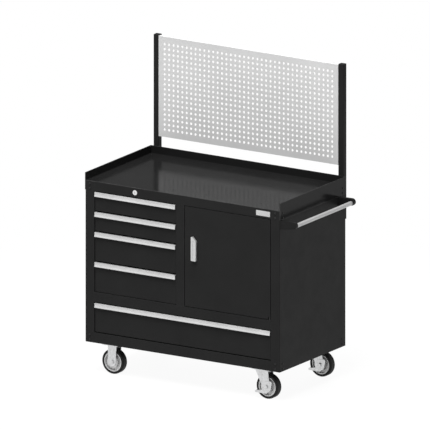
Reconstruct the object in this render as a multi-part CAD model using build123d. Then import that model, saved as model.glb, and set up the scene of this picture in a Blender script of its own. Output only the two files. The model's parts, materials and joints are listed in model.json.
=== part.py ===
from build123d import *
import math
import os

# Mobile workbench cabinet: drawers, cupboard door, tray top, pegboard, push handle and casters.
# Millimetres. While building, x runs from the cabinet's left face, y from its front face towards
# the back and z up from the floor. Saving moves the origin to the middle of the footprint.

# Cabinet shell
BODY_WIDTH = 1120.0
BODY_DEPTH = 605.0
SHEET = 1.5
FOLD_RADIUS = 3.0
STILE_WIDTH = 52.0
STILE_RETURN = 30.0
BACK_RETURN = 20.0
CENTRE_STILE_WIDTH = 48.0
BOTTOM_RAIL_HEIGHT = 51.5
MID_RAIL_HEIGHT = 50.5
TOP_RAIL_HEIGHT = 49.0
BOTTOM_RAIL_LIP = 10.0
TOP_RAIL_LIP = 16.0
TOP_RAIL_SHELF = 90.0
BASE_THICKNESS = 3.0
UPRIGHT_DEPTH = 30.0
UPRIGHT_INSET = 40.0

# Worktop tray
TRAY_SHEET = 2.0
LIP_HEIGHT = 38.0
LIP_ROUND = 1.2
TRAY_SCREW_INSET = 70.0
TRAY_SCREW_X = (152.0, 467.0)
TRAY_SCREW_RADIUS = 1.8
TRAY_SCREW_HEAD = 5.0

# Drawers
DRAWER_COLUMN_WIDTH = 470.0
SHALLOW_DRAWER = 101.5
DEEP_DRAWER = 152.0
LOWEST_DRAWER = 156.0
BOTTOM_DRAWER = 155.0
DRAWER_SETBACK = 3.5
FRONT_GAP = 2.5
GAP_BELOW = 2.3
GAP_ABOVE = 5.0
BOTTOM_GAP_BELOW = 4.8
FRONT_SHEET = 1.2
FRONT_RETURN = 15.0
BOX_SHEET = 1.0
BOX_BACK_GAP = 80.0
BOX_LIFT = 6.0
BOX_DROP = 28.0

# Drawer pulls, one aluminium section
PULL_WALL = 2.0
PULL_HEIGHT = 22.2
PULL_FACE = 7.5
PULL_BEAD = 0.8
PULL_FLARE = 2.5
PULL_FLARE_HEIGHT = 9.0
PULL_SEAT = 8.0
PULL_LEG = 6.0
PULL_INSET = 3.5
PULL_ROUND = 0.4

# Telescopic runners
RUNNER_THICKNESS = 12.7
RUNNER_HEIGHT = 45.0
RUNNER_SHEET = 1.2
RUNNER_PLAY = 0.6
RUNNER_START = 24.0
RUNNER_BACK_GAP = 27.0
RUNNER_LIFT = 2.0

# Cupboard door, its pull, hinge and catch
DOOR_GAP = 3.0
DOOR_DEPTH = 20.0
HINGE_INSET = 5.0
HINGE_DEPTH = 5.5
HINGE_BARREL_RADIUS = 5.0
HINGE_BARREL_HEIGHT = 14.8
HINGE_PIN_RADIUS = 3.0
HINGE_PIN_LENGTH = 10.0
HINGE_NOTCH = 8.0
HINGE_EAR = 2.0
HINGE_SEAT_GAP = 0.2
DOOR_PULL_WIDTH = 28.5
DOOR_PULL_LENGTH = 121.5
DOOR_PULL_DEPTH = 12.0
DOOR_PULL_WALL = 2.5
DOOR_PULL_END = 12.0
DOOR_PULL_SPINE = 8.0
DOOR_PULL_RADIUS = 4.0
DOOR_PULL_CUT = 20.0
DOOR_PULL_RIDGE = 10.0
DOOR_PULL_INSET = 41.0
DOOR_PULL_RISE = 238.5
CATCH_WIDTH = 12.0
CATCH_DEPTH = 14.0
CATCH_LENGTH = 45.0
CATCH_GAP = 0.6
CATCH_DROP = 90.0

# Cupboard shelf
SHELF_RISE = 259.0
SHELF_INSET = 45.0
SHELF_LIP = 20.0
SHELF_PLAY = 0.5
CLIP_WIDTH = 20.0
CLIP_REACH = 14.0
CLIP_THICKNESS = 2.0
CLIP_INSET = 80.0

# Lock and name plate on the top rail
LOCK_HEIGHT = 24.5
LOCK_BEZEL_RADIUS = 13.0
LOCK_BEZEL_HEIGHT = 4.0
LOCK_BARREL_RADIUS = 9.5
LOCK_BARREL_LENGTH = 23.0
LOCK_PLUG_RADIUS = 6.5
LOCK_PLUG_PROUD = 1.0
LOCK_NUT_FLATS = 24.0
LOCK_NUT_HEIGHT = 5.0
KEY_SLOT_WIDTH = 1.8
KEY_SLOT_LENGTH = 8.0
KEY_SLOT_DEPTH = 6.0
CAM_THICKNESS = 2.5
CAM_LENGTH = 34.0
CAM_RADIUS = 7.5
CAM_WIDTH = 13.0
PLATE_WIDTH = 80.0
PLATE_HEIGHT = 26.0
PLATE_THICKNESS = 1.2
PLATE_EDGE = 4.0
PLATE_ROUND = 2.0
PLATE_BEVEL = 0.5

# Posts and perforated board
POST_SIZE = 30.0
POST_WALL = 2.0
POST_INSET = 13.0
POST_BOTTOM_DROP = 184.0
POST_RISE = 600.0
CAP_THICKNESS = 3.0
CAP_PLUG = 12.0
BOARD_HEIGHT = 507.0
BOARD_TOP_GAP = 3.5
BOARD_SHEET = 1.5
BOARD_RETURN = 15.0
HOLE_PITCH = 25.4
HOLE_RADIUS = 6.2
HOLE_MARGIN = 25.0

# Push handle on the right side
HANDLE_BASE_HEIGHT = 44.0
HANDLE_BASE_DROP = 1.0
HANDLE_ARM_RADIUS = 17.5
HANDLE_ARM_REACH = 76.8
HANDLE_ARM_DROP = 17.0
HANDLE_ARM_THICKNESS = 19.0
HANDLE_FRONT_INSET = 2.0
HANDLE_REAR_INSET = 52.0
HANDLE_EDGE_ROUND = 2.5
BAR_RADIUS = 10.5
BAR_DROP = 21.5
BAR_SOCKET = 8.0

# Casters
WHEEL_RADIUS = 62.5
CASTER_HEADROOM = 30.0
WHEEL_WIDTH = 38.0
TYRE_BAND = 12.5
TYRE_ROUND = 7.0
RIM_RING = 6.0
RIM_INSET = 2.0
RIM_WEB = 8.0
RIM_DISH_ROUND = 2.0
HUB_RADIUS = 30.0
HUB_OVERHANG = 2.4
AXLE_RADIUS = 6.0
AXLE_HEAD_FLATS = 18.0
AXLE_HEAD_HEIGHT = 6.0
FORK_SHEET = 3.0
FORK_PLAY = 3.0
FORK_END_RADIUS = 22.0
RIGID_FORK_HALF = 24.0
SWIVEL_FORK_HALF = 34.0
PLATE_LENGTH_X = 85.0
PLATE_LENGTH_Y = 105.0
CASTER_PLATE = 3.0
CASTER_BOLT_X = 60.0
CASTER_BOLT_Y = 70.0
CASTER_BOLT_RADIUS = 4.0
CASTER_BOLT_FLATS = 13.0
CASTER_BOLT_HEAD = 5.0
RIGID_INSET = 134.0
SWIVEL_INSET = 124.0
CASTER_SIDE_INSET = 56.0
SWIVEL_TRAIL = 27.0
RACE_RADIUS = 28.0
RACE_HEIGHT = 7.0
KING_PIN_RADIUS = 6.0
KING_PIN_HEAD = 10.0
KING_PIN_HEAD_HEIGHT = 4.0
CROWN_THICKNESS = 5.0
PEDAL_SHEET = 2.5
PEDAL_PLAY = 0.4
PEDAL_ARM_RADIUS = 11.0
PEDAL_ARM_END = (-12.0, -20.0)
PEDAL_HUB_RADIUS = 28.0
PEDAL_LOBE_RADIUS = 9.0
PEDAL_LOBE_CENTRE = (30.5, 9.6)
PEDAL_CLEARANCE = 2.5
PEDAL_TREAD = 5.0
PEDAL_TIP_HEIGHT = 8.0
PEDAL_ANGLE = 25.5

# Bolts and fits
BOLT_RADIUS = 3.0
BOLT_HEAD_RADIUS = 5.0
BOLT_HEAD_HEIGHT = 3.0
BOLT_HEAD_ROUND = 1.4
BOLT_SOCKET_FLATS = 4.0
BOLT_SOCKET_DEPTH = 1.8
BOLT_NUT_FLATS = 10.0
BOLT_NUT_HEIGHT = 5.0
BOLT_CORNER_LOW = (13.0, 39.0)
BOLT_CORNER_HIGH = (15.0, 39.0)
BOLT_SIDE_INSET = 27.0
BOARD_SCREW_RADIUS = 1.8
BOARD_SCREW_LENGTH = 6.0
HANDLE_SCREW_LENGTH = 14.0
RUNNING_FIT = 0.05
BOLT_FIT = 0.1
FACE_FIT = 0.3
TOUCH = 0.01

# Levels
Z_BASE = 2 * WHEEL_RADIUS + CASTER_HEADROOM
Z_BOTTOM_BAY = Z_BASE + BOTTOM_RAIL_HEIGHT
Z_MID_RAIL = Z_BOTTOM_BAY + BOTTOM_DRAWER
Z_DECK = Z_MID_RAIL + MID_RAIL_HEIGHT
COLUMN_HEIGHTS = (SHALLOW_DRAWER, SHALLOW_DRAWER, DEEP_DRAWER, LOWEST_DRAWER)
Z_TOP_RAIL = Z_DECK + sum(COLUMN_HEIGHTS)
Z_WORK = Z_TOP_RAIL + TOP_RAIL_HEIGHT
Z_SHELL = Z_WORK - TRAY_SHEET
Z_LIP = Z_WORK + LIP_HEIGHT
Z_POST_TOP = Z_WORK + POST_RISE
Z_AXLE = WHEEL_RADIUS

# Plan positions
X_INNER = BODY_WIDTH - STILE_WIDTH
X_COLUMN = STILE_WIDTH + DRAWER_COLUMN_WIDTH
X_DOOR_BAY = X_COLUMN + CENTRE_STILE_WIDTH
X_HINGE = X_INNER - DOOR_GAP - HINGE_INSET
X_LOCK = (STILE_WIDTH + X_COLUMN) / 2
Z_LOCK = Z_WORK - LOCK_HEIGHT
Y_INSIDE = BODY_DEPTH - 2 * SHEET
BOX_DEPTH = BODY_DEPTH - BOX_BACK_GAP
RUNNER_LENGTH = BOX_DEPTH - RUNNER_BACK_GAP - RUNNER_START
HANDLE_SPAN = BODY_DEPTH - HANDLE_FRONT_INSET - HANDLE_REAR_INSET
Y_POST = BODY_DEPTH + TRAY_SHEET
X_POSTS = (POST_INSET, BODY_WIDTH - POST_INSET - POST_SIZE)
BOARD_LEFT = POST_INSET + POST_SIZE
BOARD_RIGHT = BODY_WIDTH - BOARD_LEFT
BOARD_TOP = Z_POST_TOP - BOARD_TOP_GAP
BOARD_BOTTOM = BOARD_TOP - BOARD_HEIGHT
PEG_COLUMNS = int((BOARD_RIGHT - BOARD_LEFT - 2 * HOLE_MARGIN) / HOLE_PITCH) + 1
PEG_ROWS = int((BOARD_HEIGHT - 2 * HOLE_MARGIN) / HOLE_PITCH) + 1
Z_HANDLE_TOP = Z_TOP_RAIL - HANDLE_BASE_DROP
Z_ARM = Z_TOP_RAIL - HANDLE_ARM_DROP
Z_BAR = Z_TOP_RAIL - BAR_DROP
X_BAR = BODY_WIDTH + HANDLE_ARM_REACH
CASTER_Y = (CASTER_SIDE_INSET, BODY_DEPTH - CASTER_SIDE_INSET)
X_RIGID = RIGID_INSET
X_SWIVEL = BODY_WIDTH - SWIVEL_INSET
X_TRAILING = X_SWIVEL + SWIVEL_TRAIL
FORK_INNER = WHEEL_WIDTH / 2 + FORK_PLAY
FORK_OUTER = FORK_INNER + FORK_SHEET
RIM_RADIUS = WHEEL_RADIUS - TYRE_BAND
Z_RACE = Z_BASE - CASTER_PLATE - RACE_HEIGHT
Z_CROWN = Z_RACE - FACE_FIT
RUNNER_STEP = RUNNER_SHEET + RUNNER_PLAY

# Footprint middle, which becomes the origin
SIDE_PROUD = TRAY_SHEET + BOLT_HEAD_HEIGHT
HANDLE_REACH = HANDLE_ARM_REACH + HANDLE_ARM_RADIUS
BACK_REACH = TRAY_SHEET + POST_SIZE + BOLT_HEAD_HEIGHT
ORIGIN_X = (BODY_WIDTH + HANDLE_REACH - SIDE_PROUD) / 2
ORIGIN_Y = (BODY_DEPTH + BACK_REACH - DOOR_PULL_DEPTH) / 2


def block(x0, x1, y0, y1, z0, z1):
    """A box between two corners."""
    return Pos((x0 + x1) / 2, (y0 + y1) / 2, (z0 + z1) / 2) * Box(x1 - x0, y1 - y0, z1 - z0)


def rod(start, direction, radius, length):
    """A round bar from a start point along a direction."""
    bar = Cylinder(radius, length, align=(Align.CENTER, Align.CENTER, Align.MIN))
    return Plane(origin=start, z_dir=direction).location * bar


def hex_rod(start, direction, flats, length):
    """A hexagonal bar from a start point along a direction."""
    bar = extrude(RegularPolygon(flats / 2, 6, major_radius=False), length)
    return Plane(origin=start, z_dir=direction).location * bar


def plate_xz(outline, y0, y1):
    """An outline drawn in x and z, made solid between two depths."""
    plane = Plane(origin=(0, y1, 0), x_dir=(1, 0, 0), z_dir=(0, -1, 0))
    return extrude(plane * outline, y1 - y0, dir=(0, -1, 0))


def plate_yz(outline, x0, x1):
    """An outline drawn in y and z, made solid between two widths."""
    plane = Plane(origin=(x0, 0, 0), x_dir=(0, 1, 0), z_dir=(1, 0, 0))
    return extrude(plane * outline, x1 - x0, dir=(1, 0, 0))


def outline_of(points):
    return Polygon(*points, align=None)


def tapered_arm(points, centre, radius):
    """The outline that wraps a straight-sided root and a round end."""
    root = Polyline(*points, close=True)
    end = Pos(*centre) * Circle(radius)
    return make_hull([*root.edges(), *end.edges()])


def edges_at(piece, axis, x=None, y=None, z=None):
    """Straight edges along an axis whose middle lies at the given places."""
    found = piece.edges().filter_by(axis)
    for along, place in ((Axis.X, x), (Axis.Y, y), (Axis.Z, z)):
        if place is not None:
            found = found.filter_by_position(along, place - TOUCH, place + TOUCH)
    return found


def across(piece, x_middle):
    """The mirror copy of a piece about an upright plane."""
    return mirror(piece, about=Plane.YZ.offset(x_middle))


def on_both_sides(piece):
    return [piece, across(piece, BODY_WIDTH / 2)]


def bolt(start, outward, grip, nut=True, radius=BOLT_RADIUS):
    """A domed bolt seated on a face, with its nut on the far side of the grip."""
    head = Cylinder(BOLT_HEAD_RADIUS, BOLT_HEAD_HEIGHT, align=(Align.CENTER, Align.CENTER, Align.MIN))
    head = fillet(head.edges().sort_by(Axis.Z)[-1:], BOLT_HEAD_ROUND)
    inward = (0, 0, -1)
    head -= hex_rod((0, 0, BOLT_HEAD_HEIGHT), inward, BOLT_SOCKET_FLATS, BOLT_SOCKET_DEPTH)
    piece = head + rod((0, 0, 0), inward, radius, grip)
    if nut:
        piece += hex_rod((0, 0, -grip), inward, BOLT_NUT_FLATS, BOLT_NUT_HEIGHT)
    return Plane(origin=start, z_dir=outward).location * piece


def bolt_hole(start, direction, length, radius=BOLT_RADIUS):
    return rod(start, direction, radius + BOLT_FIT, length)


def front_bolt_places():
    """Bolt heads on the left stile, as x and z."""
    x = STILE_WIDTH / 2
    low = [(x, Z_BASE + rise) for rise in BOLT_CORNER_LOW]
    high = [(x, Z_WORK - drop) for drop in BOLT_CORNER_HIGH]
    return low + high


def side_bolt_places():
    """Bolt heads on a side, as y, z and whether the tray apron lies under the head."""
    places = []
    for y in (BOLT_SIDE_INSET, BODY_DEPTH - BOLT_SIDE_INSET):
        places += [(y, Z_BASE + rise, False) for rise in BOLT_CORNER_LOW]
        places += [(y, Z_WORK - drop, True) for drop in BOLT_CORNER_HIGH]
    return places


def handle_arm_starts():
    rear = HANDLE_FRONT_INSET + HANDLE_SPAN - HANDLE_ARM_THICKNESS
    return (HANDLE_FRONT_INSET, rear)


def handle_bolt_places():
    """Screws through the right side into the handle brackets, as y and z."""
    middle = Z_HANDLE_TOP - HANDLE_BASE_HEIGHT / 2
    offset = HANDLE_BASE_HEIGHT / 4
    starts = handle_arm_starts()
    half = HANDLE_ARM_THICKNESS / 2
    return [(start + half, middle + side * offset) for start in starts for side in (-1, 1)]


def post_bolt_places():
    """Bolts through each post into the cabinet's back, as z."""
    upper = Z_WORK - TOP_RAIL_HEIGHT / 2
    lower = Z_WORK - POST_BOTTOM_DROP + POST_SIZE
    return (lower, upper)


def board_screw_levels():
    middle = (BOARD_TOP + BOARD_BOTTOM) / 2
    offset = BOARD_HEIGHT / 2 - POST_SIZE
    return (middle - offset, middle, middle + offset)


def side_panel():
    """Left side sheet, folded round the front into the stile."""
    web = block(0, SHEET, 0, BODY_DEPTH, Z_BASE, Z_SHELL)
    stile = block(0, STILE_WIDTH, 0, SHEET, Z_BASE, Z_SHELL)
    inner = block(STILE_WIDTH - SHEET, STILE_WIDTH, 0, STILE_RETURN, Z_BASE, Z_SHELL)
    back = block(0, BACK_RETURN, Y_INSIDE, Y_INSIDE + SHEET, Z_BASE, Z_SHELL)
    panel = web + stile + inner + back
    panel = fillet(edges_at(panel, Axis.Z, x=0, y=0), FOLD_RADIUS)
    panel = fillet(edges_at(panel, Axis.Z, x=STILE_WIDTH, y=0), SHEET / 2)
    for x, z in front_bolt_places():
        panel -= bolt_hole((x, 0, z), (0, 1, 0), SHEET)
    for y, z, _ in side_bolt_places():
        panel -= bolt_hole((0, y, z), (1, 0, 0), SHEET)
    return panel


def left_side_panel():
    return side_panel()


def right_side_panel():
    panel = across(side_panel(), BODY_WIDTH / 2)
    for y, z in handle_bolt_places():
        panel -= bolt_hole((BODY_WIDTH - SHEET, y, z), (1, 0, 0), SHEET)
    return panel


def back_panel():
    panel = block(SHEET, BODY_WIDTH - SHEET, Y_INSIDE + SHEET, BODY_DEPTH, Z_BASE, Z_SHELL)
    for x in X_POSTS:
        for z in post_bolt_places():
            panel -= bolt_hole((x + POST_SIZE / 2, Y_INSIDE + SHEET, z), (0, 1, 0), SHEET)
    return panel


def caster_bolt_places():
    places = []
    for x in (X_RIGID, X_SWIVEL):
        for y in CASTER_Y:
            for dx in (-CASTER_BOLT_X / 2, CASTER_BOLT_X / 2):
                for dy in (-CASTER_BOLT_Y / 2, CASTER_BOLT_Y / 2):
                    places.append((x + dx, y + dy))
    return places


def base_panel():
    """Floor of the cabinet, which the casters are bolted to."""
    top = Z_BASE + BASE_THICKNESS
    floor = block(SHEET, BODY_WIDTH - SHEET, STILE_RETURN, Y_INSIDE, Z_BASE, top)
    floor += block(STILE_WIDTH, X_INNER, BOTTOM_RAIL_LIP, STILE_RETURN, Z_BASE, top)
    for x, y in caster_bolt_places():
        floor -= rod((x, y, Z_BASE), (0, 0, 1), CASTER_BOLT_RADIUS + BOLT_FIT, BASE_THICKNESS)
    return floor


def rail(z0, z1, lower_lip, upper_lip):
    """A front rail between the stiles with lips folded back."""
    face = block(STILE_WIDTH, X_INNER, 0, SHEET, z0, z1)
    face += block(STILE_WIDTH, X_INNER, 0, lower_lip, z0, z0 + SHEET)
    face += block(STILE_WIDTH, X_INNER, 0, upper_lip, z1 - SHEET, z1)
    face = fillet(edges_at(face, Axis.X, y=0, z=z0), SHEET / 2)
    return face


def tray_screw_places():
    left = list(TRAY_SCREW_X)
    return left + [BODY_WIDTH - x for x in reversed(left)]


def top_rail():
    piece = rail(Z_TOP_RAIL, Z_SHELL, TOP_RAIL_LIP, TOP_RAIL_SHELF)
    piece -= rod((X_LOCK, 0, Z_LOCK), (0, 1, 0), LOCK_BARREL_RADIUS + BOLT_FIT, SHEET)
    for x in tray_screw_places():
        start = (x, TRAY_SCREW_INSET, Z_SHELL)
        piece -= rod(start, (0, 0, -1), TRAY_SCREW_RADIUS + BOLT_FIT, SHEET)
    return piece


def mid_rail():
    return rail(Z_MID_RAIL, Z_DECK, STILE_RETURN, STILE_RETURN)


def bottom_rail():
    return rail(Z_BASE, Z_BOTTOM_BAY, BOTTOM_RAIL_LIP, BOTTOM_RAIL_LIP)


def centre_stile():
    face = block(X_COLUMN, X_DOOR_BAY, 0, SHEET, Z_DECK, Z_TOP_RAIL)
    face += block(X_COLUMN, X_COLUMN + SHEET, 0, STILE_RETURN, Z_DECK, Z_TOP_RAIL)
    face += block(X_DOOR_BAY - SHEET, X_DOOR_BAY, 0, STILE_RETURN, Z_DECK, Z_TOP_RAIL)
    return fillet(edges_at(face, Axis.Z, y=0), SHEET / 2)


def divider_panel():
    """Upright sheet between the drawers and the cupboard."""
    return block(X_COLUMN, X_COLUMN + SHEET, STILE_RETURN, Y_INSIDE, Z_DECK, Z_SHELL - SHEET)


def mid_deck():
    """Floor of the cupboard, above the bottom drawer."""
    return block(SHEET, BODY_WIDTH - SHEET, STILE_RETURN, Y_INSIDE, Z_DECK - SHEET, Z_DECK)


def upright(y0, z0, z1):
    """A channel that brings the runners out to the edge of the stile."""
    y1 = y0 + UPRIGHT_DEPTH
    piece = block(STILE_WIDTH - SHEET, STILE_WIDTH, y0, y1, z0, z1)
    piece += block(SHEET, STILE_WIDTH, y0, y0 + SHEET, z0, z1)
    piece += block(SHEET, STILE_WIDTH, y1 - SHEET, y1, z0, z1)
    return piece


def runner_uprights():
    rear = RUNNER_START + RUNNER_LENGTH - UPRIGHT_DEPTH
    pieces = []
    for y in (UPRIGHT_INSET, rear):
        lower = upright(y, Z_BASE + BASE_THICKNESS, Z_DECK - SHEET)
        pieces += on_both_sides(lower)
        pieces.append(upright(y, Z_DECK, Z_TOP_RAIL))
    return pieces


def cupboard_shelf():
    """Shelf with a front and a rear edge folded down."""
    x0 = X_COLUMN + SHEET + SHELF_PLAY
    x1 = BODY_WIDTH - SHEET - SHELF_PLAY
    y1 = Y_INSIDE - SHELF_PLAY
    top = Z_DECK + SHELF_RISE
    piece = block(x0, x1, SHELF_INSET, y1, top - SHEET, top)
    piece += block(x0, x1, SHELF_INSET, SHELF_INSET + SHEET, top - SHELF_LIP, top)
    piece += block(x0, x1, y1 - SHEET, y1, top - SHELF_LIP, top)
    return piece


def shelf_clips():
    """Four angle clips on the divider and the right side, under the shelf."""
    top = Z_DECK + SHELF_RISE - SHEET
    pieces = []
    for y in (SHELF_INSET + CLIP_INSET, Y_INSIDE - CLIP_INSET):
        for wall, side in ((X_COLUMN + SHEET, 1), (BODY_WIDTH - SHEET, -1)):
            tip = wall + side * CLIP_REACH
            root = wall + side * CLIP_THICKNESS
            ledge = block(min(wall, tip), max(wall, tip), y, y + CLIP_WIDTH, top - CLIP_THICKNESS, top)
            leg = block(min(wall, root), max(wall, root), y, y + CLIP_WIDTH, top - CLIP_REACH, top)
            pieces.append(ledge + leg)
    return pieces


def worktop_tray():
    """Tray plate whose edges turn up into lips and fold back down outside as aprons."""
    outer = TRAY_SHEET
    apron_foot = Z_WORK - TOP_RAIL_HEIGHT
    tray = block(0, BODY_WIDTH, 0, BODY_DEPTH, Z_SHELL, Z_WORK)
    for x0, x1 in ((-outer, outer), (BODY_WIDTH - outer, BODY_WIDTH + outer)):
        tray += block(x0, x1, 0, BODY_DEPTH + outer, Z_SHELL, Z_LIP)
    for x0, x1 in ((-outer, 0), (BODY_WIDTH, BODY_WIDTH + outer)):
        tray += block(x0, x1, 0, BODY_DEPTH + outer, apron_foot, Z_SHELL)
    tray += block(-outer, BODY_WIDTH + outer, BODY_DEPTH - outer, BODY_DEPTH + outer, Z_SHELL, Z_LIP)
    tray += block(-outer, BODY_WIDTH + outer, BODY_DEPTH, BODY_DEPTH + outer, apron_foot, Z_SHELL)
    for y, z, on_apron in side_bolt_places():
        if on_apron:
            for x in (-outer, BODY_WIDTH):
                tray -= bolt_hole((x, y, z), (1, 0, 0), outer)
    for x in X_POSTS:
        upper = max(post_bolt_places())
        tray -= bolt_hole((x + POST_SIZE / 2, BODY_DEPTH, upper), (0, 1, 0), outer)
    for x in tray_screw_places():
        tray -= tray_screw(x, BOLT_FIT)
    rim = tray.edges().filter_by_position(Axis.Z, Z_LIP - TOUCH, Z_LIP + TOUCH)
    return fillet(rim, LIP_ROUND)


def tray_screw(x, fit=0.0):
    """A flush countersunk screw from the tray into the top rail's shelf."""
    depth = TRAY_SHEET + SHEET + TRAY_SCREW_HEAD
    drop = TRAY_SHEET - SHEET / 2
    head = Cone(TRAY_SCREW_RADIUS + fit, TRAY_SCREW_HEAD + fit, drop,
                align=(Align.CENTER, Align.CENTER, Align.MAX))
    piece = Pos(x, TRAY_SCREW_INSET, Z_WORK) * head
    return piece + rod((x, TRAY_SCREW_INSET, Z_WORK), (0, 0, -1), TRAY_SCREW_RADIUS + fit, depth)


def tray_screws():
    return [tray_screw(x) for x in tray_screw_places()]


def frame_bolts():
    """Corner bolts, post bolts with their spacers, board screws and handle screws."""
    pieces = []
    for x, z in front_bolt_places():
        pieces += on_both_sides(bolt((x, 0, z), (0, -1, 0), SHEET))
    for y, z, on_apron in side_bolt_places():
        face = TRAY_SHEET if on_apron else 0.0
        pieces += on_both_sides(bolt((-face, y, z), (-1, 0, 0), face + SHEET))
    for x in X_POSTS:
        x += POST_SIZE / 2
        for z in post_bolt_places():
            grip = POST_SIZE + TRAY_SHEET + SHEET
            pieces.append(bolt((x, Y_POST + POST_SIZE, z), (0, 1, 0), grip))
        spacer_z = min(post_bolt_places())
        spacer = rod((x, BODY_DEPTH, spacer_z), (0, 1, 0), 2 * BOLT_HEAD_RADIUS, TRAY_SHEET)
        pieces.append(spacer - bolt_hole((x, BODY_DEPTH, spacer_z), (0, 1, 0), TRAY_SHEET))
    for z in board_screw_levels():
        start = (BOARD_LEFT + BOARD_SHEET, Y_POST + BOARD_RETURN / 2, z)
        screw = bolt(start, (1, 0, 0), BOARD_SCREW_LENGTH, nut=False, radius=BOARD_SCREW_RADIUS)
        pieces += on_both_sides(screw)
    for y, z in handle_bolt_places():
        start = (BODY_WIDTH - SHEET, y, z)
        pieces.append(bolt(start, (-1, 0, 0), HANDLE_SCREW_LENGTH, nut=False))
    return pieces


def nameplate():
    """Blank plate on the right end of the top rail."""
    x1 = X_INNER - PLATE_EDGE
    z = (Z_TOP_RAIL + Z_SHELL) / 2
    piece = block(x1 - PLATE_WIDTH, x1, -PLATE_THICKNESS, 0, z - PLATE_HEIGHT / 2, z + PLATE_HEIGHT / 2)
    piece = fillet(piece.edges().filter_by(Axis.Y), PLATE_ROUND)
    return chamfer(piece.faces().sort_by(Axis.Y)[0].edges(), PLATE_BEVEL)


def lock_housing():
    """Bezel and threaded barrel through the rail, with the nut behind it."""
    barrel = rod((X_LOCK, 0, Z_LOCK), (0, 1, 0), LOCK_BARREL_RADIUS, LOCK_BARREL_LENGTH)
    bezel = rod((X_LOCK, 0, Z_LOCK), (0, -1, 0), LOCK_BEZEL_RADIUS, LOCK_BEZEL_HEIGHT)
    bezel = fillet(bezel.edges().sort_by(Axis.Y)[:1], LOCK_BEZEL_HEIGHT / 2)
    bore_length = LOCK_BARREL_LENGTH + LOCK_BEZEL_HEIGHT
    bore = rod((X_LOCK, -LOCK_BEZEL_HEIGHT, Z_LOCK), (0, 1, 0), LOCK_PLUG_RADIUS + RUNNING_FIT, bore_length)
    nut = hex_rod((X_LOCK, SHEET, Z_LOCK), (0, 1, 0), LOCK_NUT_FLATS, LOCK_NUT_HEIGHT)
    nut -= rod((X_LOCK, SHEET, Z_LOCK), (0, 1, 0), LOCK_BARREL_RADIUS + BOLT_FIT, LOCK_NUT_HEIGHT)
    return [barrel + bezel - bore, nut]


def lock_plug():
    """Turning plug with an upright key slot."""
    front = -LOCK_BEZEL_HEIGHT - LOCK_PLUG_PROUD
    length = LOCK_BARREL_LENGTH + FACE_FIT - front
    plug = rod((X_LOCK, front, Z_LOCK), (0, 1, 0), LOCK_PLUG_RADIUS, length)
    half_width = KEY_SLOT_WIDTH / 2
    half_length = KEY_SLOT_LENGTH / 2
    slot = block(X_LOCK - half_width, X_LOCK + half_width, front, front + KEY_SLOT_DEPTH,
                 Z_LOCK - half_length, Z_LOCK + half_length)
    return plug - slot


def lock_cam():
    """Flat tongue on the plug's rear end, pointing left when unlocked."""
    y0 = LOCK_BARREL_LENGTH + FACE_FIT
    tip = X_LOCK - CAM_LENGTH
    half = CAM_WIDTH / 2
    points = [(tip, Z_LOCK - half), (tip, Z_LOCK + half), (X_LOCK, Z_LOCK + half), (X_LOCK, Z_LOCK - half)]
    outline = tapered_arm(points, (X_LOCK, Z_LOCK), CAM_RADIUS)
    return plate_xz(outline, y0, y0 + CAM_THICKNESS)


def back_posts():
    """Square tubes behind the cabinet, drilled for their bolts and the board's screws."""
    pieces = []
    for x in X_POSTS:
        z0 = Z_WORK - POST_BOTTOM_DROP + CAP_THICKNESS
        z1 = Z_POST_TOP - CAP_THICKNESS
        tube = block(x, x + POST_SIZE, Y_POST, Y_POST + POST_SIZE, z0, z1)
        tube = fillet(tube.edges().filter_by(Axis.Z), FOLD_RADIUS)
        tube -= block(x + POST_WALL, x + POST_SIZE - POST_WALL, Y_POST + POST_WALL,
                      Y_POST + POST_SIZE - POST_WALL, z0, z1)
        for z in post_bolt_places():
            tube -= bolt_hole((x + POST_SIZE / 2, Y_POST, z), (0, 1, 0), POST_SIZE)
        pieces.append(tube)
    for z in board_screw_levels():
        start = (BOARD_LEFT, Y_POST + BOARD_RETURN / 2, z)
        left_hole = bolt_hole(start, (-1, 0, 0), POST_SIZE / 2, BOARD_SCREW_RADIUS)
        pieces[0] -= left_hole
        pieces[1] -= across(left_hole, BODY_WIDTH / 2)
    return pieces


def post_cap(x, z, up):
    """A plug for one end of a post. The flange lies on the end and the plug goes into it."""
    flange = block(x, x + POST_SIZE, Y_POST, Y_POST + POST_SIZE, z, z + CAP_THICKNESS)
    flange = fillet(flange.edges().filter_by(Axis.Z), FOLD_RADIUS)
    wall = POST_WALL + BOLT_FIT
    plug_z = z - CAP_PLUG if up else z + CAP_THICKNESS
    plug = block(x + wall, x + POST_SIZE - wall, Y_POST + wall, Y_POST + POST_SIZE - wall,
                 plug_z, plug_z + CAP_PLUG)
    return flange + plug


def post_caps():
    pieces = []
    for x in X_POSTS:
        pieces.append(post_cap(x, Z_POST_TOP - CAP_THICKNESS, up=True))
        pieces.append(post_cap(x, Z_WORK - POST_BOTTOM_DROP, up=False))
    return pieces


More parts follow.
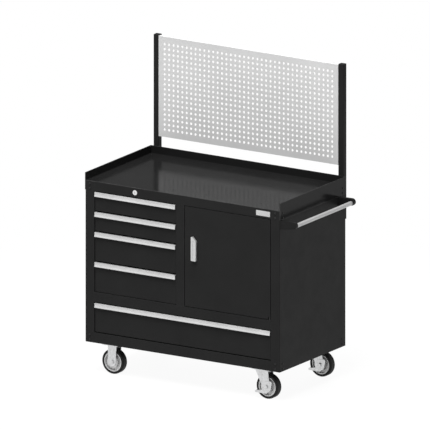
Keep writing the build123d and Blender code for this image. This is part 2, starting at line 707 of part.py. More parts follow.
def pegboard():
    """Perforated sheet with its four edges folded back, level with the post fronts."""
    centre = ((BOARD_LEFT + BOARD_RIGHT) / 2, (BOARD_TOP + BOARD_BOTTOM) / 2)
    plane = Plane(origin=(centre[0], Y_POST + BOARD_SHEET, centre[1]), x_dir=(1, 0, 0), z_dir=(0, -1, 0))
    border = Wire.make_rect(BOARD_RIGHT - BOARD_LEFT, BOARD_HEIGHT)
    grid = GridLocations(HOLE_PITCH, HOLE_PITCH, PEG_COLUMNS, PEG_ROWS)
    holes = [Wire.make_circle(HOLE_RADIUS).locate(place) for place in grid.locations]
    sheet = extrude(plane * Face(border, holes), BOARD_SHEET, dir=(0, -1, 0))
    y1 = Y_POST + BOARD_RETURN
    for z in (BOARD_BOTTOM, BOARD_TOP - BOARD_SHEET):
        sheet += block(BOARD_LEFT, BOARD_RIGHT, Y_POST + BOARD_SHEET, y1, z, z + BOARD_SHEET)
    for x in (BOARD_LEFT, BOARD_RIGHT - BOARD_SHEET):
        side = block(x, x + BOARD_SHEET, Y_POST + BOARD_SHEET, y1, BOARD_BOTTOM, BOARD_TOP)
        for z in board_screw_levels():
            start = (x, Y_POST + BOARD_RETURN / 2, z)
            side -= bolt_hole(start, (1, 0, 0), BOARD_SHEET, BOARD_SCREW_RADIUS)
        sheet += side
    return sheet


def handle_brackets():
    """Two arms that carry the bar, with sockets facing each other."""
    face = BODY_WIDTH
    foot = Z_HANDLE_TOP - HANDLE_BASE_HEIGHT
    shoulder = face + HANDLE_EDGE_ROUND
    root = [(face, Z_HANDLE_TOP), (face, foot), (shoulder, foot), (shoulder, Z_HANDLE_TOP)]
    outline = tapered_arm(root, (X_BAR, Z_ARM), HANDLE_ARM_RADIUS)
    pieces = []
    for y, socket_y in zip(handle_arm_starts(), bar_ends()):
        arm = plate_xz(outline, y, y + HANDLE_ARM_THICKNESS)
        rim = [edge for edge in arm.edges() if edge.center().X > face + TOUCH]
        rim = [edge for edge in rim if abs(edge.tangent_at(0.5).Y) < TOUCH]
        arm = fillet(rim, HANDLE_EDGE_ROUND)
        inside = (0, 1, 0) if y == HANDLE_FRONT_INSET else (0, -1, 0)
        arm -= rod((X_BAR, socket_y, Z_BAR), inside, BAR_RADIUS + RUNNING_FIT, BAR_SOCKET)
        for hole_y, z in handle_bolt_places():
            if y < hole_y < y + HANDLE_ARM_THICKNESS:
                arm -= bolt_hole((face, hole_y, z), (1, 0, 0), HANDLE_SCREW_LENGTH)
        pieces.append(arm)
    return pieces


def bar_ends():
    front, rear = handle_arm_starts()
    return (front + HANDLE_ARM_THICKNESS - BAR_SOCKET, rear + BAR_SOCKET)


def handle_bar():
    front, rear = bar_ends()
    return rod((X_BAR, front, Z_BAR), (0, 1, 0), BAR_RADIUS, rear - front)


def drawer_bays():
    """Each drawer's opening as x0, x1, z0, z1, from the top drawer down."""
    bays = []
    top = Z_TOP_RAIL
    for height in COLUMN_HEIGHTS:
        bays.append((STILE_WIDTH, X_COLUMN, top - height, top))
        top -= height
    bays.append((STILE_WIDTH, X_INNER, Z_BOTTOM_BAY + BOTTOM_GAP_BELOW - GAP_BELOW, Z_MID_RAIL))
    return bays


def pull_top(bay):
    return bay[3] - GAP_ABOVE


def front_box(bay):
    """The drawer front's outline as x0, x1, z0, z1."""
    x0, x1, z0, _ = bay
    return (x0 + FRONT_GAP, x1 - FRONT_GAP, z0 + GAP_BELOW, pull_top(bay) - PULL_WALL)


def drawer_box(bay):
    """The drawer box's outline as x0, x1, z0, z1."""
    _, _, front_z0, front_z1 = front_box(bay)
    return (bay[0] + RUNNER_THICKNESS, bay[1] - RUNNER_THICKNESS, front_z0 + BOX_LIFT, front_z1 - BOX_DROP)


def runner_level(bay):
    return drawer_box(bay)[2] + RUNNER_LIFT + RUNNER_HEIGHT / 2


def runner_channel(x_back, x_tip, height, bay):
    """A runner member: an upright web at x_back with a lip above and below reaching to x_tip."""
    y0 = RUNNER_START
    y1 = RUNNER_START + RUNNER_LENGTH
    middle = runner_level(bay)
    z0 = middle - height / 2
    z1 = middle + height / 2
    web_tip = x_back + math.copysign(RUNNER_SHEET, x_tip - x_back)
    low, high = sorted((x_back, x_tip))
    piece = block(*sorted((x_back, web_tip)), y0, y1, z0, z1)
    piece += block(low, high, y0, y1, z0, z0 + RUNNER_SHEET)
    piece += block(low, high, y0, y1, z1 - RUNNER_SHEET, z1)
    return piece


def runner_pair(bay, x_back, x_tip, height):
    """The same runner member on the left and right of a drawer."""
    left = runner_channel(bay[0] + x_back, bay[0] + x_tip, height, bay)
    return [left, across(left, (bay[0] + bay[1]) / 2)]


def outer_runners():
    tip = RUNNER_THICKNESS - RUNNER_STEP
    pieces = []
    for bay in drawer_bays():
        pieces += runner_pair(bay, 0, tip, RUNNER_HEIGHT)
    return pieces


def middle_runners(bay):
    tip = RUNNER_THICKNESS - RUNNER_STEP
    return runner_pair(bay, RUNNER_STEP, tip, RUNNER_HEIGHT - 2 * RUNNER_STEP)


def inner_runners(bay):
    tip = 2 * RUNNER_STEP
    return runner_pair(bay, RUNNER_THICKNESS, tip, RUNNER_HEIGHT - 4 * RUNNER_STEP)


def drawer_body(bay):
    """A folded front, set back a little in its opening, with the box welded behind it."""
    x0, x1, z0, z1 = front_box(bay)
    face = DRAWER_SETBACK
    inside = face + FRONT_SHEET
    back = face + FRONT_RETURN
    body = block(x0, x1, face, inside, z0, z1)
    body += block(x0, x1, face, back, z1 - FRONT_SHEET, z1)
    body += block(x0, x1, face, back, z0, z0 + FRONT_SHEET)
    body += block(x0, x0 + FRONT_SHEET, face, back, z0, z1)
    body += block(x1 - FRONT_SHEET, x1, face, back, z0, z1)
    rounded = edges_at(body, Axis.Z, y=face) + edges_at(body, Axis.X, y=face, z=z0)
    body = fillet(rounded, FRONT_SHEET / 2)
    bx0, bx1, bz0, bz1 = drawer_box(bay)
    body += block(bx0, bx1, inside, BOX_DEPTH, bz0, bz0 + BOX_SHEET)
    body += block(bx0, bx0 + BOX_SHEET, inside, BOX_DEPTH, bz0, bz1)
    body += block(bx1 - BOX_SHEET, bx1, inside, BOX_DEPTH, bz0, bz1)
    body += block(bx0, bx1, BOX_DEPTH - BOX_SHEET, BOX_DEPTH, bz0, bz1)
    return [body, *inner_runners(bay)]


def drawer_pull(bay):
    """Aluminium section hooked over the drawer front, open below for the fingers."""
    top = pull_top(bay)
    front = DRAWER_SETBACK
    seat = front + PULL_SEAT
    leg = front - PULL_WALL
    face = front - PULL_FACE
    foot = top - PULL_HEIGHT
    inner = face + PULL_WALL
    bead_depth = 4 * PULL_BEAD
    points = [
        (seat, top), (face, top),
        (face - PULL_BEAD, top - PULL_BEAD), (face - PULL_BEAD, top - bead_depth + PULL_BEAD),
        (face, top - bead_depth), (face, foot + PULL_FLARE_HEIGHT),
        (face - PULL_FLARE, foot + PULL_WALL), (face - PULL_FLARE, foot), (inner, foot),
        (inner, top - PULL_WALL), (leg, top - PULL_WALL), (leg, top - PULL_LEG),
        (front, top - PULL_LEG), (front, top - PULL_WALL), (seat, top - PULL_WALL),
    ]
    outline = outline_of(points)
    front_corners = [corner for corner in outline.vertices() if corner.X < inner + TOUCH]
    outline = fillet(front_corners, PULL_ROUND)
    return plate_yz(outline, bay[0] + PULL_INSET, bay[1] - PULL_INSET)


def door_outline():
    """The door's edges as x0, x1, z0, z1."""
    return (X_DOOR_BAY + DOOR_GAP, X_INNER - DOOR_GAP, Z_DECK + DOOR_GAP, Z_TOP_RAIL - DOOR_GAP)


def ear_level():
    return Z_DECK + HINGE_BARREL_HEIGHT + HINGE_SEAT_GAP


def door_panel():
    """Folded door pan with a notched lower corner where the hinge barrel stands."""
    x0, x1, z0, z1 = door_outline()
    door = block(x0, x1, 0, SHEET, z0, z1)
    door += block(x0, x1, 0, DOOR_DEPTH, z1 - SHEET, z1)
    door += block(x0, x1, 0, DOOR_DEPTH, z0, z0 + SHEET)
    door += block(x0, x0 + SHEET, 0, DOOR_DEPTH, z0, z1)
    door += block(x1 - SHEET, x1, 0, DOOR_DEPTH, z0, z1)
    door = fillet(edges_at(door, Axis.Z, y=0) + edges_at(door, Axis.X, y=0), SHEET / 2)
    ear = ear_level()
    door -= block(X_HINGE - HINGE_NOTCH, x1 + DOOR_GAP, -DOOR_GAP, DOOR_DEPTH, z0 - DOOR_GAP, ear)
    door += block(X_HINGE - 2 * HINGE_NOTCH, x1 - SHEET / 2, SHEET / 2, DOOR_DEPTH, ear, ear + HINGE_EAR)
    hole = HINGE_PIN_RADIUS + RUNNING_FIT
    door -= rod((X_HINGE, HINGE_DEPTH, ear), (0, 0, 1), hole, HINGE_EAR)
    door -= rod((X_HINGE, HINGE_DEPTH, z1 - SHEET), (0, 0, 1), hole, SHEET)
    return door


def hinge_pins():
    """A barrel and pin standing on the mid rail, and a pin hanging from the top rail."""
    foot = (X_HINGE, HINGE_DEPTH, Z_DECK)
    lower = rod(foot, (0, 0, 1), HINGE_BARREL_RADIUS, HINGE_BARREL_HEIGHT)
    lower += rod(foot, (0, 0, 1), HINGE_PIN_RADIUS, HINGE_BARREL_HEIGHT + HINGE_PIN_LENGTH)
    upper = rod((X_HINGE, HINGE_DEPTH, Z_TOP_RAIL), (0, 0, -1), HINGE_PIN_RADIUS, HINGE_PIN_LENGTH)
    return [lower, upper]


def door_pull():
    """Upright pull with one corner cut off, hollow behind and open towards the door's free edge."""
    x0 = door_outline()[0] + DOOR_PULL_INSET
    x1 = x0 + DOOR_PULL_WIDTH
    z0 = Z_DECK + DOOR_PULL_RISE
    z1 = z0 + DOOR_PULL_LENGTH
    cut = z1 - DOOR_PULL_CUT
    outline = outline_of([(x0, z0), (x1, z0), (x1, cut), (x1 - DOOR_PULL_CUT, z1), (x0, z1)])
    outline = fillet(outline.vertices(), DOOR_PULL_RADIUS)
    pull = plate_xz(outline, -DOOR_PULL_DEPTH, 0)
    front = pull.faces().sort_by(Axis.Y)[0]
    pull = fillet(front.edges(), DOOR_PULL_WALL / 2)
    pocket_front = -DOOR_PULL_DEPTH + DOOR_PULL_WALL
    pull -= block(x0, x1 - DOOR_PULL_SPINE, pocket_front, 0, z0 + DOOR_PULL_END, cut)
    panel_back = DOOR_PULL_WALL / 2 - DOOR_PULL_DEPTH
    pull -= block(x0 + DOOR_PULL_RIDGE, x1 - DOOR_PULL_WALL, -DOOR_PULL_DEPTH, panel_back,
                  z0 + DOOR_PULL_END, cut)
    return pull


def door_catch():
    """Magnet block on the centre stile that holds the door's free edge."""
    y0 = DOOR_DEPTH + CATCH_GAP
    z1 = Z_TOP_RAIL - CATCH_DROP
    return block(X_DOOR_BAY, X_DOOR_BAY + CATCH_WIDTH, y0, y0 + CATCH_DEPTH, z1 - CATCH_LENGTH, z1)


def caster_plate(x, y):
    half_x = PLATE_LENGTH_X / 2
    half_y = PLATE_LENGTH_Y / 2
    plate = block(x - half_x, x + half_x, y - half_y, y + half_y, Z_BASE - CASTER_PLATE, Z_BASE)
    plate = fillet(plate.edges().filter_by(Axis.Z), FOLD_RADIUS)
    for dx in (-CASTER_BOLT_X / 2, CASTER_BOLT_X / 2):
        for dy in (-CASTER_BOLT_Y / 2, CASTER_BOLT_Y / 2):
            start = (x + dx, y + dy, Z_BASE)
            plate -= rod(start, (0, 0, -1), CASTER_BOLT_RADIUS + BOLT_FIT, CASTER_PLATE)
    return plate


def fork_cheeks(x_axle, x_top, z_top, y, top_half):
    """Two cheeks that taper from the top of the fork down to the axle."""
    left = x_top - top_half
    right = x_top + top_half
    low = z_top - CROWN_THICKNESS
    root = [(left, z_top), (right, z_top), (right, low), (left, low)]
    outline = tapered_arm(root, (x_axle, Z_AXLE), FORK_END_RADIUS)
    outline -= Pos(x_axle, Z_AXLE) * Circle(AXLE_RADIUS + BOLT_FIT)
    cheeks = plate_xz(outline, y - FORK_OUTER, y - FORK_INNER)
    return cheeks + plate_xz(outline, y + FORK_INNER, y + FORK_OUTER)


def axle(x, y, half_grip):
    """An axle bolt with a hexagon at each end."""
    half = half_grip + AXLE_HEAD_HEIGHT
    piece = rod((x, y - half, Z_AXLE), (0, 1, 0), AXLE_RADIUS, 2 * half)
    piece += hex_rod((x, y - half, Z_AXLE), (0, 1, 0), AXLE_HEAD_FLATS, AXLE_HEAD_HEIGHT)
    piece += hex_rod((x, y + half, Z_AXLE), (0, -1, 0), AXLE_HEAD_FLATS, AXLE_HEAD_HEIGHT)
    return piece


def rigid_forks():
    pieces = []
    for y in CASTER_Y:
        fork = caster_plate(X_RIGID, y)
        fork += fork_cheeks(X_RIGID, X_RIGID, Z_BASE - CASTER_PLATE, y, RIGID_FORK_HALF)
        pieces += [fork, axle(X_RIGID, y, FORK_OUTER)]
    return pieces


def swivel_plates():
    """Top plates with the ball race under them and the king pin whose head holds the fork up."""
    pieces = []
    for y in CASTER_Y:
        plate = caster_plate(X_SWIVEL, y)
        plate += rod((X_SWIVEL, y, Z_RACE), (0, 0, 1), RACE_RADIUS, RACE_HEIGHT)
        head_top = Z_CROWN - CROWN_THICKNESS - FACE_FIT
        plate += rod((X_SWIVEL, y, Z_RACE), (0, 0, -1), KING_PIN_RADIUS, Z_RACE - head_top)
        plate += rod((X_SWIVEL, y, head_top), (0, 0, -1), KING_PIN_HEAD, KING_PIN_HEAD_HEIGHT)
        pieces.append(plate)
    return pieces


def swivel_fork(y):
    """Crown under the race with two trailing cheeks, and the axle bolt."""
    z0 = Z_CROWN - CROWN_THICKNESS
    left = X_SWIVEL - SWIVEL_FORK_HALF
    right = X_SWIVEL + SWIVEL_FORK_HALF
    crown = block(left, right, y - FORK_OUTER, y + FORK_OUTER, z0, Z_CROWN)
    crown += fork_cheeks(X_TRAILING, X_SWIVEL, Z_CROWN, y, SWIVEL_FORK_HALF)
    crown -= rod((X_SWIVEL, y, z0), (0, 0, 1), KING_PIN_RADIUS + RUNNING_FIT, CROWN_THICKNESS)
    return [crown, axle(X_TRAILING, y, FORK_OUTER + PEDAL_SHEET + 2 * PEDAL_PLAY)]


def wheel_tyre(x, y):
    """Rubber tyre with rounded shoulders."""
    half = WHEEL_WIDTH / 2
    section = Pos((RIM_RADIUS + WHEEL_RADIUS) / 2, 0) * Rectangle(WHEEL_RADIUS - RIM_RADIUS, 2 * half)
    shoulders = section.vertices().filter_by_position(Axis.X, WHEEL_RADIUS - TOUCH, WHEEL_RADIUS + TOUCH)
    section = fillet(shoulders, TYRE_ROUND)
    return Pos(x, y, Z_AXLE) * revolve(section, Axis.Y)


def wheel_rim(x, y):
    """Dished rim with a raised ring and a hub that runs on the axle."""
    bore = AXLE_RADIUS + RUNNING_FIT
    ring_half = WHEEL_WIDTH / 2 - RIM_INSET
    hub_half = WHEEL_WIDTH / 2 + HUB_OVERHANG
    web_half = RIM_WEB / 2
    ring_inner = RIM_RADIUS - RIM_RING
    points = [
        (bore, -hub_half), (HUB_RADIUS, -hub_half), (HUB_RADIUS, -web_half), (ring_inner, -web_half),
        (ring_inner, -ring_half), (RIM_RADIUS, -ring_half), (RIM_RADIUS, ring_half),
        (ring_inner, ring_half), (ring_inner, web_half), (HUB_RADIUS, web_half),
        (HUB_RADIUS, hub_half), (bore, hub_half),
    ]
    section = outline_of(points)
    dish = [corner for corner in section.vertices() if abs(abs(corner.Y) - web_half) < TOUCH]
    section = fillet(dish, RIM_DISH_ROUND)
    return Pos(x, y, Z_AXLE) * revolve(section, Axis.Y)


def brake_pedal(y):
    """Two lobed plates on the axle with arms to a tread beyond the tyre, tipped down towards the floor."""
    reach = WHEEL_RADIUS + PEDAL_CLEARANCE
    tip = reach + PEDAL_TREAD
    half = PEDAL_TIP_HEIGHT / 2
    root = [(-tip, -half), (-tip, half), (-reach, half), (-reach, -half)]
    hub = Circle(PEDAL_HUB_RADIUS)
    lobe = Pos(*PEDAL_LOBE_CENTRE) * Circle(PEDAL_LOBE_RADIUS)
    outline = tapered_arm(root, PEDAL_ARM_END, PEDAL_ARM_RADIUS)
    outline += make_hull([*hub.edges(), *lobe.edges()])
    outline -= Circle(AXLE_RADIUS + RUNNING_FIT)
    inner = FORK_OUTER + PEDAL_PLAY
    outer = inner + PEDAL_SHEET
    pedal = plate_xz(outline, -outer, -inner) + plate_xz(outline, inner, outer)
    pedal += block(-tip, -reach, -outer, outer, half - PEDAL_SHEET, half)
    pedal += block(-tip, -tip + PEDAL_SHEET, -outer, outer, -half, half)
    return Pos(X_TRAILING, y, Z_AXLE) * Rot(0, -PEDAL_ANGLE, 0) * pedal


def caster_bolts():
    """Bolts up through each caster plate and the base, with nuts inside the cabinet."""
    pieces = []
    for x, y in caster_bolt_places():
        foot = (x, y, Z_BASE - CASTER_PLATE)
        piece = hex_rod(foot, (0, 0, -1), CASTER_BOLT_FLATS, CASTER_BOLT_HEAD)
        piece += rod(foot, (0, 0, 1), CASTER_BOLT_RADIUS, CASTER_PLATE + BASE_THICKNESS)
        piece += hex_rod((x, y, Z_BASE + BASE_THICKNESS), (0, 0, 1), CASTER_BOLT_FLATS, CASTER_BOLT_HEAD)
        pieces.append(piece)
    return pieces


def save(node, pieces):
    """Write one node's solids, moved so that the footprint's middle is the origin."""
    if not isinstance(pieces, list):
        pieces = [pieces]
    solids = [solid for piece in pieces for solid in piece.solids()]
    moved = [Pos(-ORIGIN_X, -ORIGIN_Y, 0) * solid for solid in solids]
    shape = moved[0] if len(moved) == 1 else Compound(moved)
    export_step(shape, f"parts/{node}.step")


CABINET_NODES = {
    "left_side_panel": left_side_panel,
    "right_side_panel": right_side_panel,
    "back_panel": back_panel,
    "base_panel": base_panel,
    "top_rail": top_rail,
    "mid_rail": mid_rail,
    "bottom_rail": bottom_rail,
    "centre_stile": centre_stile,
    "divider_panel": divider_panel,
    "mid_deck": mid_deck,
    "runner_uprights": runner_uprights,
    "cupboard_shelf": cupboard_shelf,
    "shelf_clips": shelf_clips,
    "worktop_tray": worktop_tray,
    "tray_screws": tray_screws,
    "frame_bolts": frame_bolts,
    "nameplate": nameplate,
    "lock_housing": lock_housing,
    "back_posts": back_posts,
    "post_caps": post_caps,
    "pegboard": pegboard,
    "handle_brackets": handle_brackets,
    "handle_bar": handle_bar,
    "outer_runners": outer_runners,
    "rigid_forks": rigid_forks,
    "swivel_plates": swivel_plates,
    "caster_bolts": caster_bolts,
    "hinge_pins": hinge_pins,
    "door_catch": door_catch,
}

MOVING_NODES = {
    "door_panel": door_panel,
    "door_pull": door_pull,
    "lock_plug": lock_plug,
    "lock_cam": lock_cam,
}

WHEELS = {
    "front_left": (X_RIGID, CASTER_Y[0]),
    "rear_left": (X_RIGID, CASTER_Y[1]),
    "front_right": (X_TRAILING, CASTER_Y[0]),
    "rear_right": (X_TRAILING, CASTER_Y[1]),
}

SWIVELS = {"front_right": CASTER_Y[0], "rear_right": CASTER_Y[1]}


def main():
    os.makedirs("parts", exist_ok=True)
    for node, make in {**CABINET_NODES, **MOVING_NODES}.items():
        save(node, make())
    for number, bay in enumerate(drawer_bays(), start=1):
        save(f"drawer_{number}_body", drawer_body(bay))
        save(f"drawer_{number}_pull", drawer_pull(bay))
        save(f"drawer_{number}_middle_runners", middle_runners(bay))
    for corner, (x, y) in WHEELS.items():
        save(f"{corner}_tyre", wheel_tyre(x, y))
        save(f"{corner}_rim", wheel_rim(x, y))
    for corner, y in SWIVELS.items():
        save(f"{corner}_fork", swivel_fork(y))
        save(f"{corner}_brake_pedal", brake_pedal(y))


if __name__ == "__main__":
    main()
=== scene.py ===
import json
import math

import bpy
from mathutils import Matrix, Vector


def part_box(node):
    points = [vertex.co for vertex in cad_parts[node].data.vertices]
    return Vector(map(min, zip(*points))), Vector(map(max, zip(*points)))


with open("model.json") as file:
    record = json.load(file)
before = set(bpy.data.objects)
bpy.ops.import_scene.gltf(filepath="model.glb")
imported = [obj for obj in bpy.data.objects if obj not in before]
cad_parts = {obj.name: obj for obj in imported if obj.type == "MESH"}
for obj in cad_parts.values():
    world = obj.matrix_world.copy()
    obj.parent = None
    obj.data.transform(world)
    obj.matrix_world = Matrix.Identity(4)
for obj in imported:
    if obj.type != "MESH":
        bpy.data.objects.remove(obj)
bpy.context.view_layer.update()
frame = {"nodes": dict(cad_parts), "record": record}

# The photograph's parallel view: 430 pixels square, from the front right and a little above.
# Lengths here and below are in metres.
IMAGE_SIZE = 430
AZIMUTH = math.radians(32.0)
ELEVATION = math.radians(15.0)
VIEW_WIDTH = 2.1005
CAMERA_DISTANCE = 6.0
CAMERA_REACH = 40.0
CORNER_PIXEL = (85.32, 341.26)

# Floor: its size, the distances over which it turns white, and how light it is, seen and as a bounce
FLOOR_SIZE = 9.0
FLOOR_FADE = (1.3, 2.6)
FLOOR_MATT = 0.055
FLOOR_GLOW = 0.945
FLOOR_BOUNCE = 0.5

# Grey card behind the cabinet, which only reflections show
CARD_X = (-4.0, 3.0)
CARD_Y = 2.4
CARD_Z = (0.9, 3.4)
CARD_GREY = 0.165

# Light from all round, and square soft boxes that each face a target
AMBIENT = 0.24
SOFT_BOXES = {
    "key": {"watts": 1885.0, "width": 6.0, "place": (0.15, -3.9, 10.6), "target": (0.0, -0.2, 0.6)},
    "left": {"watts": 40.0, "width": 3.0, "place": (-5.2, -0.2, 2.2), "target": (-0.5, 0.0, 0.6)},
    "back": {"watts": 520.0, "width": 4.8, "place": (-2.5, 8.0, 4.5), "target": (0.0, 0.2, 0.7)},
}

# Darkest and lightest level of each finish, as linear greys
BLACK_COAT = (0.0149, 0.0194)
# The posts' coat: a darker copy of the cabinet's, painted shade
POST_PAINTED_SHADE_COAT = (0.0135, 0.0173)
BOARD_COAT = (0.57, 0.63)
# The tray's coat inside, and a lighter copy of it on its outer sides that is painted light
TRAY_INSIDE = (0.0098, 0.0124)
TRAY_OUTSIDE_PAINTED_LIGHT = (0.0136, 0.017)
BLACK_OXIDE = (0.006, 0.009)
PHOSPHATE = (0.023, 0.03)
ALUMINIUM = (0.565, 0.66)
SATIN_STEEL = (0.49, 0.58)
ZINC = (0.52, 0.73)
ZINC_WARMTH = -0.01
CHROME = (0.72, 0.8)
CAST_ALUMINIUM = (0.55, 0.68)
RUBBER = (0.007, 0.016)
PLASTIC = (0.006, 0.010)

# Width of the lighter line along an edge, partly wear and partly painted highlight, under the thickness of
# the sheets that it is on
COAT_WEAR_AND_HIGHLIGHT = 0.0009
TRAY_WEAR_AND_HIGHLIGHT = 0.0019
DRAWN_WEAR_AND_HIGHLIGHT = 0.0008
CAST_WEAR_AND_HIGHLIGHT = 0.001

# Where the tray's inner grey gives way to the lighter outer one, which is painted light, measured past its
# outer sides: minus is inside them
PAINTED_LIGHT_DEPTH = (-0.0015, -0.0005)

# How many times longer than wide the lines of drawn metal and the polishing marks are
LINE_STRETCH = 90.0
MARK_STRETCH = 30.0


def grey(level, warmth=0.0):
    """A grey as red, green and blue: warmth over nothing makes it redder, under nothing bluer."""
    return (level * (1.0 + warmth), level, level * (1.0 - warmth))


class Nodes:
    """A node tree, with short ways to add nodes and join them."""

    def __init__(self, tree):
        self.tree = tree

    def node(self, kind, **settings):
        made = self.tree.nodes.new(kind)
        for key, value in settings.items():
            setattr(made, key, value)
        return made

    def link(self, output, socket):
        self.tree.links.new(output, socket)

    def math(self, operation, first, second):
        made = self.node("ShaderNodeMath", operation=operation)
        self.link(first, made.inputs[0])
        self.link(second, made.inputs[1])
        return made.outputs["Value"]

    def spread(self, value, low, high, start=0.3, end=0.7):
        """Maps the values from start to end onto a range."""
        ranged = self.node("ShaderNodeMapRange")
        ranged.inputs["From Min"].default_value = start
        ranged.inputs["From Max"].default_value = end
        ranged.inputs["To Min"].default_value = low
        ranged.inputs["To Max"].default_value = high
        self.link(value, ranged.inputs["Value"])
        return ranged.outputs["Result"]

    def seen(self):
        """One for rays from the camera, reflections and glass, nothing for light that falls on things."""
        path = self.node("ShaderNodeLightPath")
        total = path.outputs["Is Camera Ray"]
        for ray in ("Is Glossy Ray", "Is Transmission Ray"):
            total = self.math("MAXIMUM", total, path.outputs[ray])
        return total

    def matt(self, level):
        shader = self.node("ShaderNodeBsdfDiffuse")
        shader.inputs["Color"].default_value = (*grey(level), 1.0)
        return shader.outputs["BSDF"]

    def glow(self, strength, kind="Emission"):
        """White light from a surface, or from the world where kind is Background."""
        shader = self.node("ShaderNode" + kind)
        shader.inputs["Color"].default_value = (1.0, 1.0, 1.0, 1.0)
        shader.inputs["Strength"].default_value = strength
        return shader.outputs[kind]

    def mix(self, share, first, second):
        """Shaders mixed from the first, where share is nothing, to the second, where it is one."""
        shader = self.node("ShaderNodeMixShader")
        self.link(share, shader.inputs["Fac"])
        self.link(first, shader.inputs[1])
        self.link(second, shader.inputs[2])
        return shader.outputs["Shader"]


class Surface(Nodes):
    """A procedural material: one Principled shader and the textures that feed it."""

    def __init__(self, name, **sockets):
        self.material = bpy.data.materials.new(name)
        self.material.use_nodes = True
        super().__init__(self.material.node_tree)
        self.shader = self.tree.nodes["Principled BSDF"]
        self.place = self.node("ShaderNodeTexCoord").outputs["Object"]
        for socket, value in sockets.items():
            self.shader.inputs[socket.replace("_", " ")].default_value = value

    def feed(self, socket, output):
        self.link(output, self.shader.inputs[socket])

    def noise(self, size, detail=2.0, stretch=(1.0, 1.0, 1.0), roughness=0.55):
        """Cloudy noise whose features are about size metres, drawn out along an axis by stretch."""
        mapping = self.node("ShaderNodeMapping")
        mapping.inputs["Scale"].default_value = [1.0 / (size * factor) for factor in stretch]
        self.link(self.place, mapping.inputs["Vector"])
        texture = self.node("ShaderNodeTexNoise")
        texture.inputs["Scale"].default_value = 1.0
        texture.inputs["Detail"].default_value = detail
        texture.inputs["Roughness"].default_value = roughness
        self.link(mapping.outputs["Vector"], texture.inputs["Vector"])
        return texture.outputs["Fac"]

    def cells(self, size):
        """Distance inside cells of about size metres, for spangle."""
        texture = self.node("ShaderNodeTexVoronoi")
        texture.inputs["Scale"].default_value = 1.0 / size
        self.link(self.place, texture.inputs["Vector"])
        return texture.outputs["Distance"]

    def sum(self, first, second, share):
        """First texture plus a share of the second."""
        add = self.node("ShaderNodeMath", operation="MULTIPLY_ADD")
        add.inputs[1].default_value = share
        self.link(second, add.inputs[0])
        self.link(first, add.inputs[2])
        return add.outputs["Value"]

    def tones(self, value, greys, start=0.3, end=0.7, warmth=0.0):
        """A grey between two levels, with warmth at the light end."""
        dark, light = greys
        ramp = self.node("ShaderNodeValToRGB")
        ramp.color_ramp.elements[0].position = start
        ramp.color_ramp.elements[1].position = end
        ramp.color_ramp.elements[0].color = (*grey(dark), 1.0)
        ramp.color_ramp.elements[1].color = (*grey(light, warmth), 1.0)
        self.link(value, ramp.inputs["Fac"])
        return ramp.outputs["Color"]

    def blend(self, share, first, second):
        """Colours mixed by share, from the first to the second, which may be one plain colour."""
        mix = self.node("ShaderNodeMixRGB")
        self.link(share, mix.inputs["Fac"])
        self.link(first, mix.inputs["Color1"])
        if isinstance(second, tuple):
            mix.inputs["Color2"].default_value = (*second, 1.0)
        else:
            self.link(second, mix.inputs["Color2"])
        return mix.outputs["Color"]

    def edges(self, reach):
        """One along outer edges, falling to nothing within about reach metres of them."""
        inside = self.node("ShaderNodeAmbientOcclusion", samples=4, inside=True, only_local=True)
        inside.inputs["Distance"].default_value = reach
        return self.spread(inside.outputs["AO"], low=1.0, high=0.0, start=0.55, end=0.95)

    def wear_and_edge_highlight(self, colour, wear_and_highlight_grey, reach, most):
        """The colour with a lighter grey along its outer edges, in patches where most is the fullest: partly
        wear, partly painted highlight.
        """
        patches = self.spread(self.noise(size=0.03, detail=5.0), low=0.3 * most, high=most)
        share = self.math("MULTIPLY", self.edges(reach), patches)
        return self.blend(share, colour, grey(wear_and_highlight_grey))

    def outer_sides(self, low, high):
        """One on the upright outer sides of a box between two corners, nothing just inside them."""
        offset = self.node("ShaderNodeVectorMath", operation="SUBTRACT")
        offset.inputs[1].default_value = (low + high) / 2
        self.link(self.place, offset.inputs[0])
        away = self.node("ShaderNodeVectorMath", operation="ABSOLUTE")
        self.link(offset.outputs["Vector"], away.inputs[0])
        depth = self.node("ShaderNodeVectorMath", operation="SUBTRACT")
        depth.inputs[1].default_value = (high - low) / 2
        self.link(away.outputs["Vector"], depth.inputs[0])
        parts = self.node("ShaderNodeSeparateXYZ")
        self.link(depth.outputs["Vector"], parts.inputs["Vector"])
        nearest = self.math("MAXIMUM", parts.outputs["X"], parts.outputs["Y"])
        start, end = PAINTED_LIGHT_DEPTH
        return self.spread(nearest, low=0.0, high=1.0, start=start, end=end)

    def bump(self, height, depth, strength):
        """Relief of about depth metres."""
        relief = self.node("ShaderNodeBump")
        relief.inputs["Strength"].default_value = strength
        relief.inputs["Distance"].default_value = depth
        self.link(height, relief.inputs["Height"])
        self.feed("Normal", relief.outputs["Normal"])


def powder_coat(name, greys, wear_and_highlight_grey, rough, specular):
    """Sprayed coat: fine orange peel, faint clouds of tone, an uneven sheen, and a lighter grey along the
    edges that is partly wear and partly painted highlight.
    """
    coat = Surface(name, Specular_IOR_Level=specular)
    clouds = coat.sum(coat.noise(size=0.22, detail=4.0), coat.noise(size=0.0016), share=0.25)
    colour = coat.tones(clouds, greys, start=0.35, end=0.9)
    coat.feed("Base Color", coat.wear_and_edge_highlight(colour, wear_and_highlight_grey, COAT_WEAR_AND_HIGHLIGHT, most=0.6))
    sheen = coat.noise(size=0.05, detail=5.0)
    coat.feed("Roughness", coat.spread(sheen, low=rough - 0.05, high=rough + 0.06))
    peel = coat.sum(coat.noise(size=0.0024, detail=1.0), coat.noise(size=0.0007, detail=1.0), share=0.4)
    coat.bump(peel, depth=0.00012, strength=0.5)
    return coat.material


